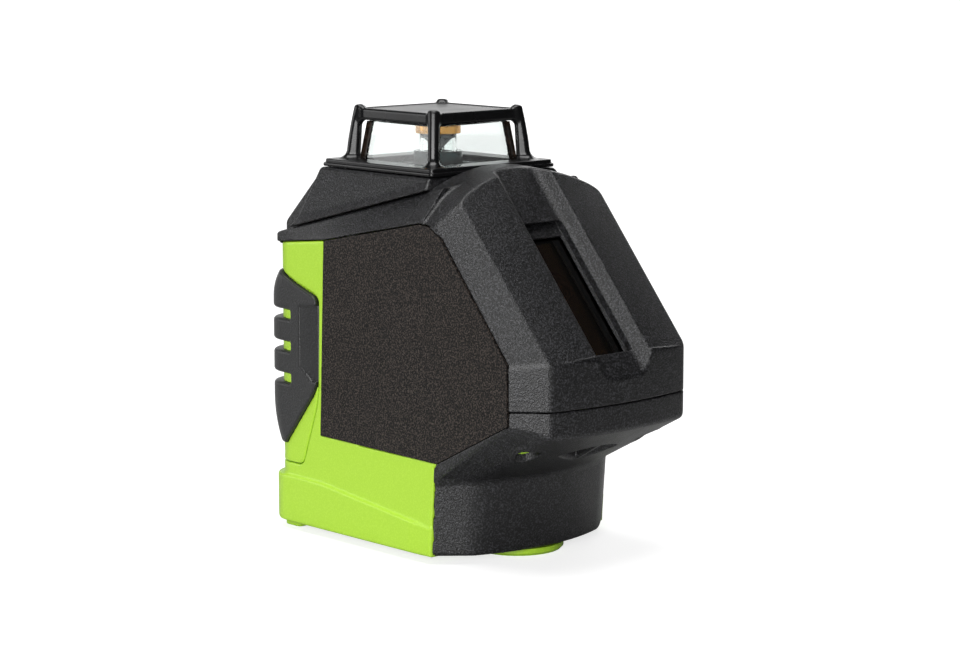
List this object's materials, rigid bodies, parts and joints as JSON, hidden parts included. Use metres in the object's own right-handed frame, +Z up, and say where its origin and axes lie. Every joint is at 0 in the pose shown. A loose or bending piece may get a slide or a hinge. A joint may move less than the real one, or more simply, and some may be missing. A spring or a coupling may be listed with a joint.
{
  "type": "self-levelling line laser",
  "caption": "Line laser level with a caged ring window on top, a sloping nose window, a battery door at the rear and a tripod boss below.",
  "frame": {"origin": "under the middle of the instrument, on the surface it stands on", "axes": "+Z up, -Y towards the sloping nose window, +Y towards the battery door, X across"},
  "size_m": [0.0744, 0.1226, 0.1325],
  "materials": {
    "lime_housing": "lime green moulded ABS, satin",
    "black_cover": "black fine-textured ABS",
    "gloss_black": "gloss black ABS",
    "panel_film": "dark grained film",
    "rubber_grip": "black overmoulded rubber",
    "clear_pane": "clear glass",
    "dark_window": "dark coated glass",
    "brass": "turned brass",
    "copper": "copper plate",
    "steel": "zinc-plated steel",
    "mirror": "polished cone mirror",
    "cast_alloy": "die-cast alloy",
    "inner_black": "black nylon",
    "board": "green circuit board",
    "cell_wrap": "plain battery sleeve",
    "key_grey": "grey silicone rubber",
    "lamp": "translucent lamp lens"
  },
  "bodies": {
    "case": {"main_housing": "lime_housing", "front_cover": "black_cover", "front_base_cover": "black_cover", "top_cover": "black_cover", "right_side_panel": "panel_film", "left_side_panel": "panel_film", "front_window": "dark_window", "window_frame": "inner_black", "tripod_boss": "lime_housing", "thread_insert": "brass", "case_screw_left": "steel", "case_screw_right": "steel", "nose_screw_left": "steel", "nose_screw_right": "steel", "keypad_panel": "black_cover", "status_lens": "lamp", "window_guard": "gloss_black", "ring_window_front": "clear_pane", "ring_window_right": "clear_pane", "ring_window_rear": "clear_pane", "ring_window_left": "clear_pane", "door_hinge_pin": "steel", "battery_tray": "inner_black", "upper_contact_left": "steel", "upper_contact_right": "steel", "lower_contact_left": "steel", "lower_contact_middle": "steel", "lower_contact_right": "steel", "battery_cell_1": "cell_wrap", "battery_cell_2": "cell_wrap", "battery_cell_3": "cell_wrap", "battery_cell_4": "cell_wrap", "pitch_bearing_left": "steel", "pitch_bearing_right": "steel", "chassis": "inner_black", "control_board": "board", "damping_magnet": "steel"},
    "battery_door": {"battery_door": "lime_housing", "rear_grip": "rubber_grip"},
    "door_latch": {"door_latch": "black_cover"},
    "mode_button_1": {"mode_button_1": "key_grey"},
    "mode_button_2": {"mode_button_2": "key_grey"},
    "mode_button_3": {"mode_button_3": "key_grey"},
    "gimbal_ring": {"gimbal_ring": "cast_alloy", "pitch_pin_left": "steel", "pitch_pin_right": "steel", "roll_pin_front": "steel", "roll_pin_rear": "steel"},
    "pendulum": {"pendulum_body": "cast_alloy", "upper_laser_module": "cast_alloy", "front_laser_module": "cast_alloy", "front_line_lens": "clear_pane", "mirror_holder": "inner_black", "mirror_tube": "clear_pane", "cone_mirror": "mirror", "mirror_cap": "brass", "damping_plate": "copper", "balance_weight": "brass"},
    "lock_slider": {"lock_slider": "black_cover"},
    "lock_plunger": {"lock_plunger": "rubber_grip"}
  },
  "joints": [
    {"name": "battery_door_hinge", "type": "hinge", "parent": "case", "child": "battery_door", "pos_m": [0, 0.0547, 0.0241], "axis": [-1, 0, 0], "range_deg": [0, 90]},
    {"name": "door_latch_slide", "type": "slide", "parent": "battery_door", "child": "door_latch", "axis": [0, 0, -1], "range_m": [0, 0.003], "stiffness_N_per_m": 200},
    {"name": "mode_button_1_press", "type": "slide", "parent": "case", "child": "mode_button_1", "axis": [0, -0.8338, -0.5521], "range_m": [0, 0.0008], "stiffness_N_per_m": 400},
    {"name": "mode_button_2_press", "type": "slide", "parent": "case", "child": "mode_button_2", "axis": [0, -0.8338, -0.5521], "range_m": [0, 0.0008], "stiffness_N_per_m": 400},
    {"name": "mode_button_3_press", "type": "slide", "parent": "case", "child": "mode_button_3", "axis": [0, -0.8338, -0.5521], "range_m": [0, 0.0008], "stiffness_N_per_m": 400},
    {"name": "gimbal_pitch", "type": "hinge", "parent": "case", "child": "gimbal_ring", "pos_m": [0, 0.0202, 0.088], "axis": [1, 0, 0], "range_deg": [-3, 3]},
    {"name": "pendulum_roll", "type": "hinge", "parent": "gimbal_ring", "child": "pendulum", "pos_m": [0, 0.0202, 0.088], "axis": [0, 1, 0], "range_deg": [-3, 3]},
    {"name": "lock_slide", "type": "slide", "parent": "case", "child": "lock_slider", "axis": [0, -1, 0], "range_m": [0, 0.006]},
    {"name": "lock_plunger_lift", "type": "slide", "parent": "case", "child": "lock_plunger", "axis": [0, 0, 1], "range_m": [0, 0.002]}
  ],
  "couplings": [
    {"joint": "lock_plunger_lift", "follows": "lock_slide", "ratio": 0.33333}
  ]
}
